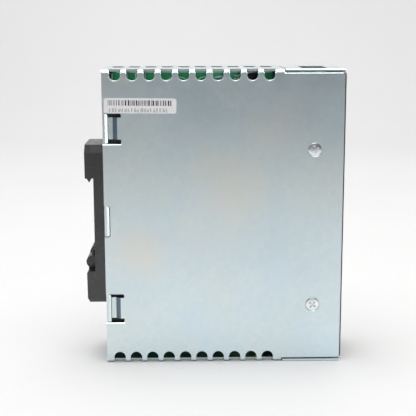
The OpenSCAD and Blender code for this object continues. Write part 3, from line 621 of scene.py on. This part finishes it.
def print_front_film():
    """Thin rules on the front film: a line under each block and brackets around the controls."""

    def place(x, z):
        return at(x, FILM_S + PRINT_LIFT, z)

    marks = [(-13.4, 102.6, 12.6, 102.85), (-13.4, 22.6, 12.6, 22.85), (-13.4, 88.2, 12.6, 88.4)]
    for i in range(4):
        x = -10.1 + (i + 0.5) * 5
        marks.append((x - 0.12, 103.0, x + 0.12, 104.2))
    for i in range(3):
        x = -10 + (i + 0.5) * 6.6
        marks.append((x - 0.12, 21.3, x + 0.12, 22.5))
    marks += ring_marks(*TRIMMER, 3.9, 0.18)
    marks += ring_marks(*LAMP, 2.6, 0.16)
    marks += [(-13.4, 84.5 - 3.2 * k, -13.4 + 15 - 4 * k, 84.8 - 3.2 * k) for k in range(3)]
    add_print("film_marks", marks, place, INK_WHITE)


# level strokes in the free strip along the board's upper edge: s, z and length
REFERENCE_STROKES = (
    (6.5, 117.2, 3.6), (6.5, 113.4, 2.6), (13.2, 115.4, 4), (20.4, 117.6, 3.8),
    (20.4, 111.6, 4.4), (27.6, 114.6, 4.2), (35, 116.8, 5), (55.4, 120.9, 2.2),
    (55.4, 119.8, 2.2), (53.4, 113.8, 3.4), (69.4, 113.2, 2.6),
)


def print_board():
    """White outlines around the parts, reference ticks and a line near the board's edge."""

    def place(s, z):
        return at(BOARD_X - PRINT_LIFT, s, z)

    marks = []
    line = 0.22
    outlines = ((12.5, 96.4, 27, 105.2), (30, 96.8, 48, 103.8), (50.8, 7, 61.6, 27), (15, 61, 45, 91))
    for outline in outlines:
        marks += frame_marks(*outline, line)
    marks += ring_marks(*BULK_CAN, 11.6, 0.25)
    marks += ring_marks(*FILTER_CHOKE, 10.6, 0.25)
    for s, z in CANS:
        marks += ring_marks(s, z, 5.5, line)
    # strokes and circles in the free strip along the upper edge
    for s in (2.2, 8.8, 12.5, 16.5, 20.6):
        marks.append((s, 110, s + 0.55, 122.4))
    marks += ring_marks(30.5, 113.6, 7, 0.35)
    marks += ring_marks(43.5, 114.4, 6.2, 0.35)
    for s, z, length in REFERENCE_STROKES:
        marks.append((s, z, s + length, z + 0.35))
    marks += [(4.4, 4, 72, 4.25), (4.4, 122.6, 72, 122.85)]
    add_print("board_silkscreen", marks, place, SILKSCREEN)


# ---------------------------------------------------------------- parts inside the case


# s, z, and 1 for a part that stands upright
SMALL_PARTS = (
    (8, 107, 1), (8, 111.5, 0), (15.5, 108.5, 1), (15.5, 112, 1), (22.5, 108.2, 0),
    (24.5, 115, 0), (30.5, 108.5, 1), (30.5, 118, 0), (37, 107.5, 1), (37, 112, 1),
    (41.5, 109.5, 0), (44, 115.2, 1), (55.5, 107.6, 0), (66.5, 108.5, 1), (72.6, 119.6, 0),
    (9, 95, 1), (28.5, 94, 0), (9, 58, 1), (9, 64, 1), (40, 36, 0),
    (44, 8, 1), (12, 24, 0), (12, 28, 0), (62, 104, 1), (71.5, 48, 0),
    (71.5, 36, 1),
)


def build_small_parts():
    """Chip resistors and capacitors soldered flat on the board: dark bodies with tinned ends."""
    bodies, ends = bmesh.new(), bmesh.new()
    for s, z, upright in SMALL_PARTS:
        half_long, half_wide, tall = 1.0, 0.62, 0.55
        ds, dz = (half_wide, half_long) if upright else (half_long, half_wide)
        y0, y1 = at(0, s + ds, 0).y, at(0, s - ds, 0).y
        x1 = BOARD_X * MM
        cap = 0.35 * MM
        # the tin stands a little proud of the body
        x_end = x1 - (tall + 0.03) * MM
        spill = 0.02
        if upright:
            add_box(bodies, (x1 - tall * MM, y0, (z - dz) * MM + cap), (x1, y1, (z + dz) * MM - cap))
            for z0 in ((z - dz) * MM, (z + dz) * MM - cap):
                add_box(ends, (x_end, y0 - spill * MM, z0), (x1, y1 + spill * MM, z0 + cap))
        else:
            add_box(bodies, (x1 - tall * MM, y0 + cap, (z - dz) * MM), (x1, y1 - cap, (z + dz) * MM))
            for y in (y0, y1 - cap):
                add_box(ends, (x_end, y, (z - dz - spill) * MM), (x1, y + cap, (z + dz + spill) * MM))
    for name, bm, slot, width in (
        ("small_part_bodies", bodies, "black_epoxy", 0.00006),
        ("small_part_ends", ends, "tinned_copper", 0.00008),
    ):
        soften(finish_mesh(name, bm, MATERIALS[slot], "case", False), width)


def dress_capacitor(name, s, z, radius, x_top, x_foot, bare_top=True):
    """A can's pale stripe, its rolled neck and the scored vent in its aluminium top."""
    stripe = bmesh.new()
    across = math.radians(46)
    steps = 12
    rows = []
    for x in (x_top + 1.2, x_foot - 0.6):
        row = []
        for i in range(steps + 1):
            a = math.radians(140) + across * (i / steps - 0.5)
            r = radius + 0.02
            row.append(stripe.verts.new(at(x, s + r * math.sin(a), z + r * math.cos(a))))
        rows.append(row)
    for i in range(steps):
        stripe.faces.new((rows[0][i], rows[0][i + 1], rows[1][i + 1], rows[1][i]))
    finish_mesh(name + "_stripe", stripe, MATERIALS["sticker_silver"], "case")
    if not bare_top:
        return
    lid = bmesh.new()
    inner = radius * 0.82
    add_lathe(lid, at(x_top, s, z), "x", [(0, -0.03), (inner * 0.96, -0.03), (inner, 0.02), (inner, 0.06)])
    finish_mesh(name + "_lid", lid, MATERIALS["heatsink_aluminium"], "case")
    score = []
    for a in (90, 210, 330):
        c, d = math.cos(math.radians(a)), math.sin(math.radians(a))
        for k in range(12):
            r0 = inner * 0.72 * k / 12
            half = radius * 0.035
            score.append((s + r0 * c - half, z + r0 * d - half, s + r0 * c + half, z + r0 * d + half))
    add_print(name + "_score", score, lambda u, v: at(x_top - 0.045, u, v), INK_BLACK)


def dress_capacitors():
    dress_capacitor("bulk_can", *BULK_CAN, 11, BOARD_X - 22.61, BOARD_X - 0.8)
    for i, (s, z) in enumerate(CANS):
        dress_capacitor(f"output_can_{i + 1}", s, z, 5, BOARD_X - 17.0, BOARD_X - 0.6, bare_top=z < 100)


def roll_vent_lips():
    """The punched edge of each side vent is rolled in, and its lower half catches the light."""
    half, middle, count, first, pitch = 2.45, 2.35, 10, 5.45, 7.05
    wire, set_in = 0.28, 0.19
    bm = bmesh.new()
    for i in range(count):
        s = first + i * pitch
        reach = half - 0.04
        line = [at(NEAR_X + set_in, s - reach, CASE_H - middle + 1.1)]
        for k in range(19):
            a = math.pi * (1 + k / 18)
            line.append(at(NEAR_X + set_in, s + reach * math.cos(a), CASE_H - middle + reach * math.sin(a)))
        line.append(at(NEAR_X + set_in, s + reach, CASE_H - middle + 1.1))
        add_tube(bm, line, wire, 8)
    finish_mesh("vent_lips", bm, MATERIALS["zinc_sheet"], "case")


def paint_window_shade():
    """A dark sheet behind each rear window of the side sheet: painted shade, standing in for the dark
    inside of the case.
    """
    bm = bmesh.new()
    behind, film, half_high = 2.45, 0.2, 8.5
    for z in WINDOW_Z:
        low = at(NEAR_X + behind, 10.5, z - half_high)
        high = at(NEAR_X + behind + film, 2.6, z + half_high)
        add_box(bm, low, high)
    # painted shade: dark sheets in the front film finish fill the windows
    piece = finish_mesh("window_painted_shade", bm, MATERIALS["front_film"], "case", False)
    soften(piece, 0.00004)


def cross_recess(u, v, arm, half):
    """How deep a cross recess is at (u, v), from 0 outside it to 1 at its floor, with sloped walls."""
    slope = 0.22

    def inside(along, across):
        room = min(half - abs(across), arm - abs(along))
        return min(max(room / slope, 0.0), 1.0)

    return max(inside(u, v), inside(v, u))


def dome_side_screws():
    """Flush screws with a low dome, a rolled rim and a cross recess, in the side sheet's seats."""
    radius, dome, depth, rim = 2.85, 0.22, 0.85, 0.25
    steps, circles = 96, 34
    bm = bmesh.new()
    for z in SCREW_Z:
        turn = math.radians(18 if z > 60 else 52)
        middle = None
        last = None
        for c in range(circles + 1):
            r = radius * c / circles
            edge = max(0.0, (r - (radius - rim)) / rim)
            ring = []
            for i in range(steps):
                a = 2 * math.pi * i / steps
                u, v = r * math.cos(a - turn), r * math.sin(a - turn)
                domed = dome * (1 - (r / radius) ** 2) - 0.16 * edge * edge
                out = domed - depth * cross_recess(u, v, 1.6, 0.36)
                ring.append(at(NEAR_X + 0.02 - out, SCREW_S + r * math.cos(a), z + r * math.sin(a)))
                if c == 0:
                    break
            ring = [bm.verts.new(place) for place in ring]
            if c == 1:
                for i in range(steps):
                    bm.faces.new((middle, ring[i], ring[(i + 1) % steps]))
            elif c > 1:
                for i in range(steps):
                    bm.faces.new((last[i], last[(i + 1) % steps], ring[(i + 1) % steps], ring[i]))
            if c == 0:
                middle = ring[0]
            last = ring
        # the cone under the head closes the piece
        foot = bm.verts.new(at(NEAR_X + 1.55, SCREW_S, z))
        for i in range(steps):
            bm.faces.new((foot, last[(i + 1) % steps], last[i]))
    piece = finish_mesh("side_screw_heads", bm, MATERIALS["plated_screw"], "case")
    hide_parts("side_screws")


def dip_discs():
    """Disc parts dipped in resin: a lens with a round rim, standing on two leads."""
    discs = (
        ("y_capacitors", "disc_blue", ((50, 119.9), (50, 93.6)), 4.6, 3.2, 3.6),
        ("surge_varistor", "varistor_blue", ((60, 34),), 6, 4.2, 2),
        ("inrush_thermistor", "thermistor_black", ((68, 42),), 5, 3.6, 2),
    )
    for node, finish, places, radius, thick, lift in discs:
        resin, legs = bmesh.new(), bmesh.new()
        for s, z in places:
            x = BOARD_X - lift - radius
            profile = []
            for k in range(25):
                a = math.pi * k / 24
                profile.append((radius * math.sin(a), -thick / 2 * math.cos(a)))
            profile[0], profile[-1] = (0, -thick / 2), (0, thick / 2)
            add_lathe(resin, at(x, s, z), "z", profile, 64)
            for e in (-1, 1):
                foot = s + e * radius * 0.55
                leg = [at(leg_x, foot, z) for leg_x in (x + radius * 0.6, BOARD_X - 0.6, BOARD_X)]
                add_tube(legs, leg, 0.33, 8)
        body = finish_mesh(node + "_dipped", resin, MATERIALS[finish], "case")
        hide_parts(node)
        finish_mesh(node + "_leads", legs, MATERIALS["tinned_copper"], "case")


def wind_filter_choke():
    """Two windings of enamelled wire, laid turn by turn around the ring core."""
    span, turns, wire = math.radians(104), 9, 0.4
    inner, outer, tall, corner = 4.12, 9.48, 3.98, 0.7
    cx = BOARD_X - 10.2
    s, z = FILTER_CHOKE
    bm = bmesh.new()
    for side in (0, math.pi):
        line = []
        steps = 24
        for i in range(turns * steps + 1):
            a = side - span / 2 + span * i / (turns * steps)
            b = 2 * math.pi * i / steps
            # a rounded oblong around the core's section
            c, d = math.cos(b), math.sin(b)
            power = 0.42
            r = (inner + outer) / 2 + (outer - inner) / 2 * math.copysign(abs(c) ** power, c)
            h = tall * math.copysign(abs(d) ** power, d)
            line.append(at(cx + r * math.cos(a), s + r * math.sin(a), z + h))
        add_tube(bm, line, wire, 8)
    piece = finish_mesh("filter_choke_turns", bm, MATERIALS["copper_wire"], "case")
    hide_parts("filter_choke_windings")


def wind_output_choke():
    """A drum core with flanges, and one layer of copper wire wound on it."""
    s, z = OUTPUT_CHOKE
    foot = at(BOARD_X, s, z)
    core = bmesh.new()
    outer_flange = [(0, -16), (4.7, -16), (5, -15.7), (5, -14.3), (4.8, -14)]
    neck = [(3.2, -14), (3.2, -2.5)]
    board_flange = [(4.8, -2.5), (5, -2.2), (5, -0.8), (4.7, -0.5), (0, -0.5)]
    add_lathe(core, foot, "x", outer_flange + neck + board_flange)
    drum = finish_mesh("output_choke_drum", core, MATERIALS["ferrite"], "case", False)
    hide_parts("output_choke")
    soften(drum, 0.0001)
    coil = bmesh.new()
    turns, steps = 10, 28
    line = []
    for i in range(turns * steps + 1):
        a = 2 * math.pi * i / steps
        x = BOARD_X - 13.35 + 10.2 * i / (turns * steps)
        line.append(at(x, s + 3.9 * math.cos(a), z + 3.9 * math.sin(a)))
    add_tube(coil, line, 0.5, 10)
    finish_mesh("output_choke_coil", coil, MATERIALS["copper_wire"], "case")


def cap_fuse():
    """Crimped metal caps over the fuse's ends."""
    bm = bmesh.new()
    for low in (4, 23.2):
        centre = at(BOARD_X - 4.6, FUSE_S, low)
        below_crimp = [(0, -0.02), (2.4, -0.02), (2.54, 0.15), (2.54, 1.0), (2.4, 1.2)]
        above_crimp = [(2.54, 1.4), (2.54, 3.05), (2.45, 3.22), (0, 3.22)]
        add_lathe(bm, centre, "z", below_crimp + above_crimp, 40)
    finish_mesh("fuse_caps", bm, MATERIALS["tinned_copper"], "case")


def mark_packages():
    """Short printed rules and a pin mark on the black packages, which face the near side."""
    rules = []
    for s in OPTOCOUPLER_S:
        rules += [(s - 2.2, 101, s + 1.6, 101.2), (s - 2.2, 100.2, s + 0.8, 100.4)]
        rules.append((s - 2.6, 98.5, s - 2.1, 99))
    rules += [(16, 102.2, 22, 102.45), (16, 101.2, 20.5, 101.45), (15.6, 98.3, 16.3, 99)]
    add_print("package_marks", rules, lambda u, v: at(BOARD_X - 4.012, u, v), INK_WHITE)
    add_print(
        "film_capacitor_marks",
        [(53.6, 21, 58.6, 21.3), (53.6, 19.8, 57, 20.1), (53.6, 12, 58.6, 12.3)],
        lambda u, v: at(BOARD_X - 15.612, u, v), INK_BLACK,
    )


def wind_latch_spring():
    """The latch's spring: a smooth coil with closed end turns, on a mesh of its own."""
    low, high, radius, wire, turns, steps = 29.74, 37.76, 0.9, 0.22, 8, 24
    middle_s, seat_z = -2.4, 29.5
    line = []
    for i in range(turns * steps + 1):
        part = i / (turns * steps)
        a = 2 * math.pi * i / steps
        # the first and the last turn lie nearly flat
        rise = part + 0.07 * math.sin(2 * math.pi * part)
        line.append(at(radius * math.cos(a), middle_s + radius * math.sin(a), low + (high - low) * rise))
    bm = bmesh.new()
    add_tube(bm, line, wire, 10)
    coil = finish_mesh("latch_coil", bm, MATERIALS["spring_wire"], "case")
    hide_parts("latch_spring")
    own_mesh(coil)


# ---------------------------------------------------------------- stage, light, camera


def build_floor():
    """A pale sweep: flat under the object, curving up behind it."""
    bm = bmesh.new()
    near_x, bend_x, radius, wall = -0.6, 0.7, 0.5, 1.5
    line = [(near_x, 0.0), (bend_x, 0.0)]
    for i in range(1, 13):
        a = math.radians(90 * i / 12)
        line.append((bend_x + radius * math.sin(a), radius * (1 - math.cos(a))))
    line.append((bend_x + radius, wall))
    rows = [[bm.verts.new((x, y, z)) for x, z in line] for y in (-1.6, 1.6)]
    for i in range(len(line) - 1):
        bm.faces.new((rows[0][i], rows[0][i + 1], rows[1][i + 1], rows[1][i]))
    mesh = bpy.data.meshes.new("floor")
    bm.to_mesh(mesh)
    bm.free()
    for polygon in mesh.polygons:
        polygon.use_smooth = True
    floor = bpy.data.objects.new("floor", mesh)
    bpy.context.scene.collection.objects.link(floor)
    m = Mat("floor_paint", (0.82, 0.82, 0.825), 0.0, 0.75)
    m.to_color(m.ramp(m.noise(5, 2), [(0.3, (0.805, 0.805, 0.805)), (0.7, (0.825, 0.825, 0.825))]))
    mesh.materials.append(m.mat)


def add_area_light(name, place, target, size, power, color=(1, 1, 1)):
    data = bpy.data.lights.new(name, "AREA")
    data.shape = "DISK"
    data.size = size
    data.energy = power
    data.color = color
    lamp = bpy.data.objects.new(name, data)
    lamp.location = place
    lamp.rotation_euler = (Vector(target) - Vector(place)).to_track_quat("-Z", "Y").to_euler()
    bpy.context.scene.collection.objects.link(lamp)


def build_light():
    world = bpy.data.worlds.new("studio")
    world.use_nodes = True
    background = world.node_tree.nodes["Background"]
    background.inputs["Color"].default_value = (0.9, 0.92, 0.95, 1)
    background.inputs["Strength"].default_value = WORLD_POWER
    bpy.context.scene.world = world
    add_area_light("key_overhead", (-0.32, 0.0, 1.25), (-0.1, 0, 0), 1.4, KEY_POWER, (1.0, 0.99, 0.98))
    add_area_light("sweep_light", (0.45, 0.0, 1.3), (0.9, 0, 0.0), 1.0, SWEEP_POWER, (1.0, 0.985, 0.98))
    add_area_light("front_fill", (-1.5, 0, 0.7), (0, 0, 0.06), 0.9, FILL_POWER)
    # a low card beside the rail clip, which the sloped lugs mirror
    add_area_light("rear_card", (0.06, 0.75, 0.07), (-0.01, 0.05, 0.06), 0.26, CARD_POWER)
    bpy.context.scene.view_settings.view_transform = "Standard"
    bpy.context.scene.view_settings.look = "None"


def build_camera():
    """The camera looks along +X at the cover side, a little from above."""
    place = Vector((-0.4179, 0.00953, 0.14475))
    yaw, pitch, roll = math.radians(-1.032), math.radians(10.867), math.radians(-0.136)
    data = bpy.data.cameras.new("camera")
    data.lens = 84.58
    data.sensor_width = 36
    data.clip_start = 0.01
    data.clip_end = 20
    camera = bpy.data.objects.new("camera", data)
    forward = Vector((math.cos(yaw) * math.cos(pitch), math.sin(yaw) * math.cos(pitch), -math.sin(pitch)))
    turn = forward.to_track_quat("-Z", "Y").to_matrix().to_4x4()
    camera.matrix_world = Matrix.Translation(place) @ turn @ Matrix.Rotation(roll, 4, "Z")
    bpy.context.scene.collection.objects.link(camera)
    bpy.context.scene.camera = camera


build_camera()
build_floor()
build_light()
dress_cad_nodes()
print_serial_sticker()
print_rating_sticker()
print_front_film()
print_board()
build_small_parts()
dress_capacitors()
roll_vent_lips()
paint_window_shade()
dome_side_screws()
dip_discs()
wind_filter_choke()
wind_output_choke()
cap_fuse()
mark_packages()
wind_latch_spring()
